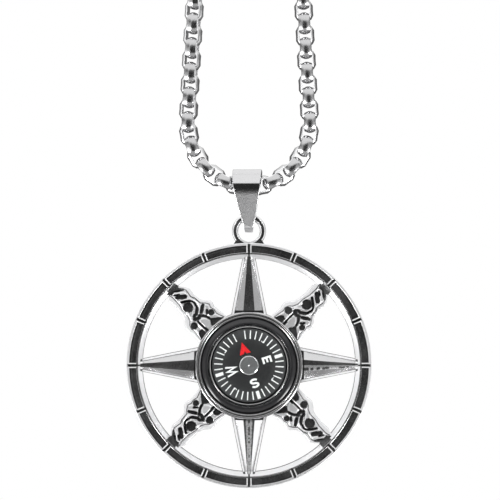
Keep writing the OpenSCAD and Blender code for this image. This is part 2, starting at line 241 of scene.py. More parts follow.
class Shop:
    # Builds one node tree
    def __init__(self, tree):
        self.tree = tree
        tree.nodes.clear()

    def add(self, kind, settings=None, sockets=None, out=0):
        # A node of this kind: its settings first, then values or links for its sockets
        node = self.tree.nodes.new(kind)
        for name, value in (settings or {}).items():
            setattr(node, name, value)
        for key, value in (sockets or {}).items():
            if isinstance(value, Signal):
                self.tree.links.new(value.socket, node.inputs[key])
            else:
                node.inputs[key].default_value = value
        return Signal(self, node.outputs[out]) if node.outputs else None

    def math(self, operation, a, b=0.0):
        return self.add("ShaderNodeMath", {"operation": operation}, {0: a, 1: b})

    def place(self):
        # Where the point lies in the piece's own space, in metres
        return self.add("ShaderNodeTexCoord", out=3)

    def attribute(self, name):
        # One of the numbers that a shape holds for its vertices
        return self.add("ShaderNodeAttribute", {"attribute_name": name}, out=2)

    def parts(self, vector):
        return [self.add("ShaderNodeSeparateXYZ", sockets={0: vector}, out=k) for k in range(3)]

    def noise(self, size, stretch=(1, 1, 1), detail=2.0, roughness=0.5):
        # size is that of one blotch, in millimetres
        scaled = self.add("ShaderNodeMapping", sockets={"Vector": self.place(), "Scale": stretch})
        return self.add("ShaderNodeTexNoise", sockets={
            "Vector": scaled, "Scale": 1 / (size * millimetre),
            "Detail": detail, "Roughness": roughness})

    def between(self, value, low, high):
        # 0 below low, 1 above high, smooth between them
        return self.add("ShaderNodeMapRange", {"interpolation_type": "SMOOTHSTEP"}, {
            "Value": value, "From Min": low, "From Max": high})

    def mixColour(self, factor, a, b):
        # a where the factor is 0, b where it is 1
        return self.add("ShaderNodeMix", {"data_type": "RGBA"}, {0: factor, 6: a, 7: b}, out=2)

    def bump(self, height, strength, distance):
        # distance is how far a height of 1 stands up, in millimetres
        return self.add("ShaderNodeBump", sockets={
            "Height": height, "Strength": strength, "Distance": distance * millimetre})

    def fromAxis(self):
        # Distance in metres from the dial's axis
        x, _, z = self.parts(self.place())
        height = z - ringZ * millimetre
        return self.math("SQRT", x * x + height * height)

    def level(self, value):
        # One number as a grey colour
        return self.add("ShaderNodeCombineXYZ", sockets={0: value, 1: value, 2: value})

    def output(self, surface, kind="ShaderNodeOutputMaterial"):
        self.add(kind, sockets={"Surface": surface})

    def principled(self, sockets):
        self.output(self.add("ShaderNodeBsdfPrincipled", sockets=sockets))


def newMaterial(name):
    # A material and the shop for its node tree, which starts empty
    material = bpy.data.materials.new(name)
    material.use_nodes = True
    return material, Shop(material.node_tree)


def grey(tone):
    # Metal is a trace cooler than neutral
    return (tone, tone, tone * 1.01, 1)


def metalMaterial(name, look):
    # Polished metal, frosted by the satin number, and mixed by the oxide number with a dark
    # grainy skin
    material, shop = newMaterial(name)
    oxide, satin = shop.attribute("oxide"), shop.attribute("satin") + look["allSatin"]
    # frosted metal is glossy again where it is seen along its surface
    facing = shop.add("ShaderNodeLayerWeight", sockets={"Blend": 0.5}, out=1)
    matt = satin * (1 - shop.between(facing, 0.35, 0.6))
    grain = shop.noise(look["grain"], detail=3.0, roughness=0.6)
    wear = shop.noise(look["wear"])
    broad = shop.noise(look["broad"])
    dark = shop.between(oxide + (grain - 0.5) * look["ragged"], 0.35, 0.65)
    skin = shop.mixColour(shop.between(grain, 0.42, 0.72), grey(look["skinDark"]),
                          grey(look["skinLight"]))
    skin = shop.mixColour(shop.between(broad, 0.4, 0.7) * look["patch"], skin,
                          grey(look["skinPatch"]))
    metal = shop.mixColour(wear, grey(look["metal"] * 0.94), grey(look["metal"]))
    metal = shop.mixColour(satin, metal, grey(look["frost"]))
    rough = look["rough"] + (wear - 0.5) * look["roughVary"] + matt * look["satinRough"]
    shop.principled({
        "Base Color": shop.mixColour(dark, metal, skin),
        "Metallic": 1 - dark * look["skinDull"] - matt * (1 - dark) * look["scatter"],
        "Roughness": rough * (1 - dark) + dark * look["skinRough"],
        "Normal": shop.bump(grain * (0.15 + dark * 0.85), look["bump"], look["bumpDeep"])})
    return material


# grain, wear and broad are sizes of blotches in millimetres, and ragged is how far the grain
# moves the skin's edge
castLook = {
    "metal": 0.66, "rough": 0.16, "roughVary": 0.06,
    "frost": 0.98, "satinRough": 0.42, "scatter": 0.5, "allSatin": 0.0,
    "skinDark": 0.02, "skinLight": 0.085, "skinRough": 0.42, "skinDull": 0.35,
    "skinPatch": 0.14, "patch": 0.4, "broad": 7.0, "wear": 2.5,
    "grain": 0.16, "ragged": 0.25, "bump": 0.25, "bumpDeep": 0.02}
chainLook = {
    "metal": 0.62, "rough": 0.23, "roughVary": 0.05,
    "frost": 0.95, "satinRough": 0.3, "scatter": 0.4, "allSatin": 0.0,
    "skinDark": 0.05, "skinLight": 0.12, "skinRough": 0.4, "skinDull": 0.2,
    "skinPatch": 0.16, "patch": 0.2, "broad": 4.0, "wear": 1.2,
    "grain": 0.3, "ragged": 0.1, "bump": 0.1, "bumpDeep": 0.01}
castMetal = metalMaterial("castMetal", castLook)
chainMetal = metalMaterial("chainMetal", chainLook)
backSatin = 0.6      # frosting of the pendant's whole back


def makeCasting(name, shape, sharpAngle=35):
    # A piece of the casting: all of them have its metal
    makePiece(name, shape, "pendant", castMetal, ["casting"], sharpAngle)


ringSize = {
    # radii of the rim, the dark channel and the flange
    "outer": 22.5, "rimIn": 22.0, "channelIn": 20.75, "flangeOut": 20.5, "flangeIn": 19.6,
    "face": 1.5, "lip": 1.42, "floor": 0.9, "flangeZ": 0.5,      # heights
    # corners of the channel's hollow floor and of the flange's step: radius, height, fillet
    "hollow": [(21.88, 0.885, 0), (21.78, 0.87, 0), (21.5, 0.82, 0), (21.4, 0.805, 0),
               (21.275, 0.8, 0.2)],
    "step": [(20.46, 1.28, 0.02), (20.4, 1.28, 0.03), (20.05, 0.95, 0.2)],
    "bars": 16, "ribWidth": 0.3, "ribTop": 1.42, "grooveWidth": 0.42, "grooveEnd": 22.35,
    "fineStep": 0.04, "coarse": 18,      # columns: spacing at a crossbar, number between two
    # dark skin, painted shade, painted sheen and frosting: where, and how much
    "padHalf": 1.2, "pad": 0.85, "lineIn": 20.38, "line": 0.6, "lowRimShade": 0.46,
    "wearAndSheenIn": 21.45, "wearAndSheenOut": 21.8, "wearSeed": 7, "wear": 0.55,
    # degrees round the ring between which the painted sheen grows and fades, and distances below its
    # centre between which painted shade darkens the rim
    "sheenGrows": (75, 110), "sheenFades": (185, 225), "lowRimShadeSpan": (10, 20),
    "flangeSatin": 0.5, "rimSatin": 0.55, "wearAndSheenSatin": 0.5, "ribSatin": 0.7}


def makeRing():
    # A closed (radius, height) profile carried round, lifted at the ribs of each crossbar
    # and sunk along the groove between them
    g = ringSize
    face, floor, lip = g["face"], g["floor"], g["lip"]
    profile = filleted([
        (g["flangeIn"], -face, 0.2), (21.0, -face, 0.3), (g["outer"], -face, 0.25),
        (g["outer"], face, 0.14), (g["rimIn"], face, 0.1), (g["rimIn"], floor, 0.08), *g["hollow"],
        (g["channelIn"], floor, 0.08), (g["channelIn"], lip, 0.08), (g["flangeOut"], lip, 0.03),
        *g["step"], (g["flangeIn"], g["flangeZ"], 0.1), (g["flangeIn"], 0.0, 0.3)])
    half = g["grooveWidth"] / 2 + g["ribWidth"] + 0.1
    middle = (g["outer"] + g["flangeOut"]) / 2
    fine = np.arange(-half, half + 1e-9, g["fineStep"]) / middle
    sector = 2 * math.pi / g["bars"]
    coarse = np.linspace(fine[-1], sector + fine[0], g["coarse"] + 2)[1:-1]
    offsets = np.concatenate([fine, coarse])
    angles = (np.arange(g["bars"])[:, None] * sector + offsets).ravel()
    # distance from the crossbar's middle line, and simply far between crossbars
    across = np.abs(np.concatenate([fine * middle, np.full(len(coarse), 9.0)]))
    across = np.tile(across, g["bars"])[:, None]
    points = lathe(profile, angles)
    x, y, z = (points[..., k].copy() for k in range(3))
    r = np.broadcast_to(profile[:, 0], z.shape)
    upper = (z > 0.7) & (r > g["flangeOut"] - 0.02)
    fromRib = np.abs(across - (g["grooveWidth"] + g["ribWidth"]) / 2)
    rib = 1 - smooth(g["ribWidth"] / 2 - 0.05, g["ribWidth"] / 2 + 0.03, fromRib)
    raised = np.maximum(z, floor + (g["ribTop"] - floor) * rib)
    lifted = np.where(upper & (r < g["rimIn"] + 0.05), raised, z)
    grooveHalf = np.minimum(g["grooveWidth"] / 2, g["grooveEnd"] - r)
    groove = (1 - smooth(grooveHalf - 0.03, grooveHalf + 0.03, across)) * upper
    points[..., 2] = lifted * (1 - groove) + np.minimum(lifted, floor) * groove

    # dark skin lies in the channel and the grooves, and over the flange where the scroll arms end
    inChannel = upper & (r > g["channelIn"] - 0.06) & (r < g["rimIn"] + 0.06)
    deep = 1 - smooth(floor + 0.1, g["ribTop"] - 0.05, points[..., 2])
    offset = np.abs(np.arctan2(y, x) % (math.pi / 2) - math.pi / 4) * r
    padHalf = g["padHalf"] + (r - g["lineIn"]) * 0.35
    pad = (1 - smooth(padHalf - 0.3, padHalf + 0.3, offset)) * (z > 0.4) * (r < g["lineIn"])
    line = (np.abs(r - g["lineIn"] - 0.05) < 0.045) * (z > 1.2)
    # and the straight rays' dark bands run over the flange into the grooves
    straight = np.abs(np.abs(x) - np.abs(y)) > r - 0.5
    band = straight * (1 - smooth(0.12, 0.2, across)) * (z > 0.4) * (r < g["channelIn"])
    oxide = np.maximum.reduce([inChannel * deep, groove, g["pad"] * pad, g["line"] * line, band])
    # random wear runs along the channel, with a painted sheen laid over it that is strongest at the
    # upper left
    around = np.degrees(np.arctan2(y, x)) % 360
    wearAndSheenRound = np.random.default_rng(g["wearSeed"]).normal(0.25, 0.3, 160)
    wearAndSheenRound = np.interp(around, np.linspace(0, 360, 160), wearAndSheenRound)
    # painted sheen: the skin lighter from the top round to the lower left, strongest at the upper
    # left
    wearAndSheenRound += smooth(*g["sheenGrows"], around) * (1 - smooth(*g["sheenFades"], around))
    wearAndSheen = np.clip(wearAndSheenRound, 0, 0.7) * inChannel * deep * (1 - groove)
    wearAndSheen = wearAndSheen * (r > g["wearAndSheenIn"]) * (r < g["wearAndSheenOut"])
    # and painted shade darkens the lowest part of the rim with the skin's colour, while the wear and
    # the painted sheen lighten the skin
    onRim = (z > 1.2) * (r > g["rimIn"] + 0.02) * (r < g["outer"] - 0.12)
    lowRimShade = smooth(*g["lowRimShadeSpan"], -y) * onRim
    oxide = np.maximum(oxide * (1 - g["wear"] * wearAndSheen), g["lowRimShade"] * lowRimShade)
    satin = g["flangeSatin"] * (r < g["flangeOut"]) + g["rimSatin"] * (r > g["rimIn"])
    # the wear and the painted sheen are frosted as well
    satin = np.where(z < 0, backSatin, satin + g["wearAndSheenSatin"] * wearAndSheen)
    satin = np.maximum(satin, g["ribSatin"] * rib * (1 - groove) * inChannel)
    shape = Shape().addGrid(stood(points), closeRows=True, oxide=oxide, satin=satin)
    makeCasting("ring", shape)


makeRing()


raySize = {
    "in": 9.2, "out": 20.3, "back": -1.1, "plate": 0.3, "baseHalf": 3.3, "tipHalf": 1.08,
    # raised wedge, and hollow band along its top: half widths at the cup and at the ring
    "wedgeIn": 10.06, "wedgeOut": 20.6, "wedgeBase": 2.52, "wedgeTip": 0.52, "pitch": 0.86,
    "bandBase": 1.05, "bandTip": 0.27, "dip": 0.1, "padIn": 19.5, "padZ": 0.9,
    "lineWide": 0.08, "lineSkin": 0.75, "borderSatin": 0.85, "rows": 170, "seed": 4}
# kind is where the band has kept its dark skin, satin how frosted the rest of the band is,
# and pads how dark the two pads at the ray's tip are
rayBands = [{"angle": 0, "kind": "lines", "satin": 0.25, "pads": 0.6},
            {"angle": 90, "kind": "full", "satin": 0, "pads": 0.45},
            {"angle": 180, "kind": "full", "satin": 0, "pads": 0.6},
            {"angle": 270, "kind": "streaks", "satin": 0.4, "pads": 0.9}]


def bandSkin(kind, v, inBand, wobble, dashes, grit):
    # Dark skin over a band, across which v runs from -1 to 1: all over it, on one half with
    # a dashed line along the other, or in streaks
    if kind == "full":
        return inBand
    if kind == "lines":
        upper = smooth(-0.05, 0.2, v) * inBand
        lower = 1 - smooth(0.14, 0.4, np.abs(v + 0.7 + 0.05 * wobble))
        faint = (0.47 + 0.05 * grit) * inBand
        return np.maximum.reduce([upper, lower * (0.4 + 0.6 * dashes), faint])
    middle = smooth(-0.1, 0.6, np.cos((v + 0.02 * wobble) * 2.6 * math.pi)) * dashes
    sides = smooth(0.5, 0.8, np.abs(v))
    return inBand * (0.4 + 0.12 * grit + np.maximum(0.5 * sides, 0.3 * middle))


def makeRays():
    # Section across a ray: flat border, plane facet up to the band, shallow hollow band, and back.
    # Widths and heights change in a straight line from cup to ring
    g = raySize
    u = np.linspace(g["wedgeIn"], g["out"] + 0.3, g["rows"])
    u = np.concatenate([[g["in"], g["wedgeIn"] - 0.03], u])[:, None]
    t = (u - g["wedgeIn"]) / (g["wedgeOut"] - g["wedgeIn"])
    border = g["baseHalf"] + (g["tipHalf"] - g["baseHalf"]) * (u - g["in"]) / (g["out"] - g["in"])
    foot = g["wedgeBase"] + (g["wedgeTip"] - g["wedgeBase"]) * t
    band = g["bandBase"] + (g["bandTip"] - g["bandBase"]) * t
    high = g["pitch"] * (foot - band) * (u > g["wedgeIn"] - 0.01)
    plate = g["plate"] + (g["padZ"] - g["plate"]) * smooth(g["padIn"], g["padIn"] + 0.08, u)
    top = np.maximum(g["plate"] + high, plate)
    low, line = g["plate"] + 0.03, g["lineWide"]
    climb = np.linspace(0, 1, 7)[None, 1:-1]      # up the facet
    side = [(border, g["back"] + 0 * u), (border, plate - 0.45), (border - 0.1, plate),
            (foot + 1.7 * line, plate), (foot + line, plate), (foot + 0.02, plate),
            (foot, plate + 0.01 + 0.02 * high),
            (foot + (band - foot) * climb, low + (top - low) * climb)]
    sideW, sideZ = (np.concatenate(columns, 1) for columns in zip(*side))
    over = np.linspace(-1, 1, 19)[None]           # over the band
    w = np.concatenate([-sideW, band * over, sideW[:, ::-1]], 1)
    z = np.concatenate([sideZ, top - g["dip"] * (1 - over ** 2) * (high > 0), sideZ[:, ::-1]], 1)
    onPad = (np.abs(w) < border - 0.1) & (u > g["padIn"] + 0.08)
    z = np.where(onPad, np.maximum(z, g["padZ"]), z)
    points = np.stack([u + 0 * w, w, z], -1)

    v = w / band
    inBand = 1 - smooth(0.92, 1.06, np.abs(v))
    inWedge = u > g["wedgeIn"]
    outside = np.abs(w) > foot + 0.01
    gap = (u < g["wedgeIn"] + 0.02) * (np.abs(w) < foot + 0.1) * (z > 0) * 1.0
    footLine = outside & (np.abs(w) < foot + 1.2 * line) & inWedge
    pads = outside & (np.abs(w) < border - 0.05) & (u > g["padIn"] + 0.1)
    random = np.random.default_rng(g["seed"])
    shape = Shape()
    for ray in rayBands:
        wobble = np.interp(u[:, 0], np.linspace(9, 21, 60), random.normal(0, 1, 60))[:, None]
        dashes = np.interp(u[:, 0], np.linspace(9, 21, 34), random.normal(0.2, 1, 34))[:, None]
        grit = random.normal(0, 1, w.shape)
        skin = bandSkin(ray["kind"], v, inBand, wobble, smooth(-0.3, 0.3, dashes), grit)
        # dark too: the gap at the cup, a broken line along the foot of each facet, and the pads
        broken = footLine * (g["lineSkin"] + 0.12 * wobble)
        oxide = np.maximum.reduce([skin * inWedge, gap, broken, pads * ray["pads"]])
        frosted = g["borderSatin"] * (outside | (u > g["padIn"]))
        satin = np.maximum(frosted, inBand * ray["satin"])
        satin[:, [0, -1]] = backSatin
        shape.addGrid(stood(turned(points, ray["angle"])), caps=True, oxide=oxide, satin=satin)
    makeCasting("rays", shape, 20)


makeRays()


armSize = {
    "in": 8.95, "out": 20.25, "back": -1.1, "plate": 0.3, "rise": 0.8, "bevel": 0.14,
    "rows": 170, "columns": 100, "satin": 0.46, "plateSatin": 0.75,
    # outlines, distance from the ring's centre and distance across: plate's lower and upper
    # edges, and the relief
    "low": [(8.9, -3.5), (11.2, -3.2), (12.2, -3.1), (13.0, -3.4), (13.6, -3.25), (14.3, -2.5),
            (15.0, -2.1), (16.4, -1.95), (17.8, -2.15), (18.7, -1.6), (19.3, -1.05), (20.2, -1.4)],
    "high": [(8.9, 3.5), (11.6, 3.3), (12.2, 3.5), (13.0, 3.45), (13.7, 3.0), (14.3, 2.45),
             (15.2, 2.15), (16.8, 2.0), (18.7, 2.1), (19.4, 1.75), (20.2, 2.0)],
    "relief": [
        (9.6, -3.0), (11.0, -2.5), (11.8, -2.7), (12.5, -2.5), (13.1, -2.75), (13.8, -2.35),
        (14.4, -1.75), (15.8, -1.65), (16.5, -1.3), (17.8, -1.55), (18.5, -1.35), (19.2, -0.8),
        (20.0, -1.2), (20.0, 1.65), (19.3, 1.25), (18.6, 1.15), (17.0, 1.2), (15.8, 1.5),
        (14.2, 1.6), (13.4, 1.95), (12.9, 2.5), (12.2, 2.8), (11.6, 2.6), (10.8, 2.75), (9.6, 2.95)],
    # raised bars: path, half width, height
    "bars": [
        ([(13.15, 0.7), (13.3, -0.1), (14.0, -1.15), (14.9, -1.45), (15.8, -1.3), (16.5, -0.75),
          (17.3, 0.6)], 0.2, 0.3),
        ([(13.3, 1.5), (14.1, 0.6), (14.75, -0.35), (15.5, -0.75), (16.15, -0.35), (16.65, 0.5)],
         0.18, 0.35),
        ([(10.2, 1.2), (12.5, 1.3), (13.1, 2.0)], 0.2, 0.3),
        ([(19.2, 0.6), (18.6, 0.0), (17.7, -1.1)], 0.3, 0.35),
        ([(12.5, -0.85), (13.45, -1.95)], 0.13, 0.25),
        ([(11.35, -1.2), (12.05, -1.4), (12.5, -2.3)], 0.15, 0.2),
        ([(14.75, 1.4), (14.8, 1.35)], 0.42, 0.3),
        ([(17.7, 0.95), (18.9, 0.95)], 0.15, 0.2)],
    # dark slots: path, half width
    "slots": [
        ([(12.25, 2.0), (12.25, 2.05)], 0.6), ([(11.8, -2.05), (11.8, -2.0)], 0.48),
        ([(10.1, 0.95), (11.0, 0.95), (12.3, 0.95)], 0.1),
        ([(13.1, 1.05), (12.75, 0.7), (12.65, 0.3), (12.8, 0.0)], 0.24),
        ([(12.9, -0.1), (12.0, -0.75), (11.3, -0.95)], 0.17), ([(13.1, -0.7), (13.85, -1.85)], 0.2),
        ([(13.45, 0.75), (13.5, 0.2), (14.1, -0.6)], 0.22), ([(13.9, -0.4), (14.45, -0.85)], 0.12),
        ([(14.4, -0.75), (15.3, -1.08), (15.9, -0.8)], 0.08),
        ([(16.95, 0.6), (16.5, -0.1), (16.0, -0.65)], 0.15), ([(18.1, 0.55), (17.25, -0.65)], 0.28),
        ([(18.75, 0.6), (18.3, -0.1)], 0.07), ([(19.3, 0.1), (18.35, -1.25)], 0.1),
        ([(12.2, -1.3), (12.65, -1.7)], 0.13), ([(9.8, 0.85), (10.4, 0.85)], 0.2)],
    "pit": ((15.4, 0.4), 0.92), "leaf": ((14.75, 1.35), 0.42),      # centre, radius
    "corners": [
        [(9.4, 2.75), (9.9, 2.7), (10.6, 2.4), (10.95, 1.9), (10.7, 1.35), (9.4, 1.3)],
        [(9.4, -0.25), (10.2, -0.4), (11.15, -1.05), (10.6, -1.75), (10.2, -2.3), (9.4, -2.95)]],
    "kite": [(10.15, 0.3), (10.5, 0.75), (12.15, 0.78), (12.4, 0.3), (11.85, -0.42),
             (11.2, -0.75), (10.6, -0.4)],
    "kiteLift": 0.15, "kiteSlope": 0.12, "kiteShare": 0.7,
    "pad": [(19.3, 0.1), (19.15, 0.95), (19.95, 1.6), (20.9, 2.0), (20.9, -1.8), (20.1, -1.25),
            (19.1, -0.8), (18.5, -1.2), (19.0, -0.5)],
    "padZ": 0.75, "padSlope": 0.25, "padAt": 19.4, "padSkin": 0.85, "creaseSkin": 0.75,
}


def armHeight(u, w):
    # Plate, plus a rounded rise inside the relief's outline, plus half-round bars,
    # less the slots, the pit and the dark corners. The kite and the pad are sloping planes
    g = armSize
    inRelief = insideDistance(u, w, g["relief"])
    z = g["plate"] + g["rise"] * smooth(-0.05, 0.3, inRelief)
    for path, half, height in g["bars"]:
        d = segmentDistance(u, w, path) / half
        z = z + height * np.sqrt(np.clip(1 - d * d, 0, 1))
    dark = np.zeros_like(z)
    for path, half in g["slots"]:
        away = segmentDistance(u, w, path)
        dark = np.maximum(dark, 1 - smooth(half - 0.04, half + 0.12, away))
    (px, py), pitRadius = g["pit"]
    (lx, ly), leafRadius = g["leaf"]
    pit = 1 - smooth(pitRadius - 0.08, pitRadius + 0.06, np.hypot(u - px, w - py))
    leaf = 1 - smooth(leafRadius - 0.06, leafRadius + 0.06, np.hypot(u - lx, w - ly))
    dark = np.maximum(dark, pit * (1 - leaf))
    for corner in g["corners"]:
        dark = np.maximum(dark, smooth(-0.06, 0.08, insideDistance(u, w, corner)))
    kite = g["kiteShare"] * smooth(0.0, 0.12, insideDistance(u, w, g["kite"]))
    kiteZ = g["plate"] + g["rise"] + g["kiteLift"] + g["kiteSlope"] * (w - g["kite"][0][1])
    z = z * (1 - kite) + kiteZ * kite
    dark = dark * (inRelief > -0.3)
    z = z * (1 - dark) + (g["plate"] + 0.05) * dark
    pad = smooth(-0.1, 0.05, insideDistance(u, w, g["pad"]))
    z = z * (1 - pad) + (g["padZ"] + g["padSlope"] * (u - g["padAt"])) * pad
    # dark line in the crease where the relief leaves the plate
    crease = 1 - smooth(0.04, 0.14, np.abs(inRelief + 0.02))
    oxide = np.maximum.reduce([dark, pad * g["padSkin"], crease * g["creaseSkin"]])
    return z, oxide, np.where(inRelief < 0, g["plateSatin"], g["satin"])


def makeArms():
    # Height over the plane of the ring, on a grid that runs from the lower to the upper outline
    g = armSize
    u = np.linspace(g["in"], g["out"], g["rows"])[:, None]
    low = np.interp(u, *np.array(g["low"]).T)
    high = np.interp(u, *np.array(g["high"]).T)
    kernel = np.ones(5) / 5      # rounds the outline's corners
    low[2:-2, 0], high[2:-2, 0] = (np.convolve(a[:, 0], kernel, "valid") for a in (low, high))
    w = low + (high - low) * np.linspace(0, 1, g["columns"])[None]
    u = u + 0 * w
    z, oxide, satin = armHeight(u, w)
    edge = np.minimum(w - low, high - w)
    z = z - g["bevel"] * (1 - np.minimum(edge / g["bevel"], 1)) ** 2
    top = np.stack([u, w, z], -1)
    back = top * [1, 1, 0] + [0, 0, g["back"]]
    points = np.concatenate([back[:, :1], top, back[:, -1:]], 1)
    oxide = np.pad(oxide, ((0, 0), (1, 1)))
    satin = np.pad(satin, ((0, 0), (1, 1)), constant_values=backSatin)
    shape = Shape()
    for angle in (45, 135, 225, 315):
        shape.addGrid(stood(turned(points, angle)), caps=True, oxide=oxide, satin=satin)
    makeCasting("scrollArms", shape, 50)


makeArms()


cupSize = {"outer": 9.9, "bore": 8.85, "back": -1.9, "floor": -1.1, "rim": 2.5,
           "lineOut": 9.37, "lineIn": 9.26, "lineDeep": 0.25, "turns": 240}


def makeCup():
    # A closed (radius, height) profile carried round: floor, wall, and a rim with a dark line in it
    g = cupSize
    rim = g["rim"]
    profile = filleted([
        (0, g["back"], 0), (9.3, g["back"], 0.3), (g["outer"], g["back"] + 0.6, 0.3),
        (g["outer"], rim - 0.35, 0.15), (9.72, rim, 0.12), (9.45, rim, 0.06),
        (g["lineOut"], rim - g["lineDeep"], 0.03), (g["lineIn"], rim - g["lineDeep"], 0.03),
        (9.2, rim - 0.06, 0.05), (9.04, rim - 0.04, 0.06), (g["bore"], rim - 0.3, 0.05),
        (g["bore"], g["floor"], 0.1), (0, g["floor"], 0)])
    r, z = profile.T
    line = (r > 9.2) & (r < 9.42) & (z > 2.0) & (z < rim - 0.02)
    inside = (r < 9.0) & (z > g["floor"] - 0.01)
    satin = backSatin * (z < g["floor"] - 0.1)
    makeCasting("cup", spun(profile, g["turns"], oxide=line | inside, satin=satin))


makeCup()


loopSize = {"outer": 3.12, "width": 1.12, "depth": 1.2, "up": 24.7, "grooveDeep": 0.08, "turns": 96,
            "footAt": 1.95, "footUp": 21.95, "footWide": 1.2, "footHigh": 1.25, "footDeep": 0.72}


def makeLoop():
    # A rounded section carried round the loop's centre, and a foot under each side of it:
    # an oval that narrows upwards
    g = loopSize
    mid, half, deep = g["outer"] - g["width"] / 2, g["width"] / 2, g["depth"] / 2
    low = deep - g["grooveDeep"]
    section = filleted([
        (mid - half, -deep, 0.35), (mid + half, -deep, 0.25), (mid + half, deep - 0.3, 0.15),
        (mid + 0.32, deep, 0.05), (mid + 0.22, low, 0.03), (mid - 0.18, low, 0.03),
        (mid - 0.26, deep, 0.05), (mid - half, deep - 0.3, 0.25)], 4)
    points = lathe(section, wholeTurn(g["turns"])) + [0, g["up"], 0]
    groove = (np.abs(section[:, 0] - mid - 0.02) < 0.25) & (section[:, 1] > 0.1)
    shape = Shape().addGrid(stood(points), closeRows=True, oxide=groove, satin=0.5)
    around = wholeTurn(24)[None]
    cosine, sine = (np.sign(f) * np.abs(f) ** 0.5 for f in (np.cos(around), np.sin(around)))
    t = np.linspace(0, 1, 12)[:, None]
    wide = g["footWide"] * (1 - 0.8 * t ** 0.8)
    x = g["footAt"] + 0.1 * t + wide * cosine
    y = g["footUp"] + g["footHigh"] * t + 0 * around
    foot = np.stack([x, y, (g["footDeep"] - 0.08 * t) * sine], -1)
    for side in (-1, 1):
        shape.addGrid(stood(foot * [side, 1, 1]), caps=True, oxide=1.0)
    makeCasting("hangingLoop", shape)


makeLoop()


caseSize = {"outer": 8.75, "back": -1.05, "top": 2.37, "domeAt": 7.72, "dome": 2.1, "domeIn": 5,
            "domeOut": 33, "seat": 7.63, "seatZ": 1.65, "well": 7.2, "floor": -0.35,
            "pin": 0.3, "pinBase": 0.75, "pinTop": 1.05, "turns": 240}


def plasticMaterial():
    # Black moulded plastic with a faint orange-peel skin
    material, shop = newMaterial("casePlastic")
    peel = shop.noise(0.5)
    shop.principled({
        "Base Color": shop.mixColour(peel, (0.012, 0.012, 0.013, 1), (0.02, 0.02, 0.021, 1)),
        "Roughness": 0.1 + peel * 0.08, "Normal": shop.bump(peel, 0.1, 0.003)})
    return material


def makeCase():
    # A closed (radius, height) profile carried round: wall, domed top, seat of the lens, well, pin
    g = caseSize
    tilt = np.radians(np.linspace(g["domeOut"], g["domeIn"], 12))
    dome = np.stack([g["domeAt"] + g["dome"] * (np.sin(tilt) - math.sin(tilt[-1])),
                     g["top"] - g["dome"] * (math.cos(tilt[-1]) - np.cos(tilt)), 0 * tilt], -1)
    profile = filleted([
        (0, g["back"], 0), (g["outer"], g["back"], 0.2), (g["outer"], dome[0][1] - 0.12, 0.05), *dome,
        (g["seat"], g["top"] - 0.08, 0.02), (g["seat"], g["seatZ"], 0.03),
        (g["well"], g["seatZ"], 0.03), (g["well"], g["floor"], 0.1), (g["pin"], g["floor"], 0.02),
        (g["pin"], g["pinBase"], 0.02), (0, g["pinTop"], 0)])
    makePiece("compassCase", spun(profile, g["turns"]), "pendant", plasticMaterial(),
              ["case"])


makeCase()


cardSize = {"radius": 6.75, "low": 0.75, "top": 1.0, "bore": 0.85, "edge": 0.04, "turns": 144}
# The card is turned anticlockwise by turn, in degrees. The middle bar of the E and the hooks
# are lower by drop, because they overlap other marks
dialSize = {"turn": 17.5, "low": 0.97, "top": 1.05, "drop": 0.008,
            "tickIn": 4.88, "tickOut": 6.42, "tickHalf": 0.1, "mainIn": 4.95, "mainHalf": 0.3,
            "hook": [(-0.08, 5.02), (0.34, 4.9), (0.36, 5.2)], "hookHalf": 0.06,
            "letterR": 3.45, "letterHigh": 1.75, "stroke": 0.36, "eHalf": 0.6, "sHalf": 0.62,
            "wHalf": 0.85, "wFoot": 0.42}


def cardMaterial():
    # Matt black, with a painted reflection: a little lighter towards the edge, from 3.6 mm out, as
    # the lens's haze
    material, shop = newMaterial("cardPaint")
    band = shop.between(shop.fromAxis(), 0.0036, 0.0068)
    speck = shop.noise(0.25, detail=3.0)
    # painted reflection: the lens's haze, lighter towards the card's edge
    tone = shop.mixColour(band, (0.012, 0.012, 0.0125, 1), (0.055, 0.055, 0.056, 1))
    shop.principled({
        "Base Color": shop.mixColour(speck * 0.35, tone, (0.04, 0.04, 0.041, 1)),
        "Roughness": 0.55 + speck * 0.15, "Normal": shop.bump(speck, 0.15, 0.02)})
    return material


def inkMaterial(name, colour, deep, roughness):
    # Printed ink: two close tones blotched together, slightly grainy
    material, shop = newMaterial(name)
    blotch = shop.noise(0.35, detail=3.0)
    shop.principled({
        "Base Color": shop.mixColour(shop.between(blotch, 0.3, 0.7), deep, colour),
        "Roughness": roughness + blotch * 0.1, "Normal": shop.bump(blotch, 0.2, 0.01)})
    return material


inkWhite = inkMaterial("inkWhite", (0.95, 0.95, 0.94, 1), (0.84, 0.84, 0.83, 1), 0.45)
inkRed = inkMaterial("inkRed", (0.78, 0.012, 0.016, 1), (0.6, 0.006, 0.01, 1), 0.4)


def makeCard():
    # A flat ring carried round, thin, with its hole for the cap's hub
    g = cardSize
    profile = filleted([(g["bore"], g["low"], g["edge"]), (g["radius"], g["low"], g["edge"]),
                        (g["radius"], g["top"], g["edge"]), (g["bore"], g["top"], g["edge"])], 2)
    makePiece("compassCard", spun(profile, g["turns"]), "compass_card", cardMaterial(),
              ["card"])


def ribbon(path, half, low, top):
    # A flat box section carried along a path, with mitred corners; ends square
    path = np.asarray(path, float)
    along = unit(np.diff(path, axis=0))
    first, last = along[:1], along[-1:]
    before, after = np.concatenate([first, along]), np.concatenate([along, last])
    side = unit(np.stack([-(before + after)[:, 1], (before + after)[:, 0]], -1))
    across = np.stack([-after[:, 1], after[:, 0]], -1)
    stretch = half / np.clip((side * across).sum(1, keepdims=True), 0.35, 1)
    left, right = path + side * stretch, path - side * stretch
    ones = np.ones((len(path), 1))
    return np.stack([np.hstack([left, low * ones]), np.hstack([left, top * ones]),
                     np.hstack([right, top * ones]), np.hstack([right, low * ones])], 1)


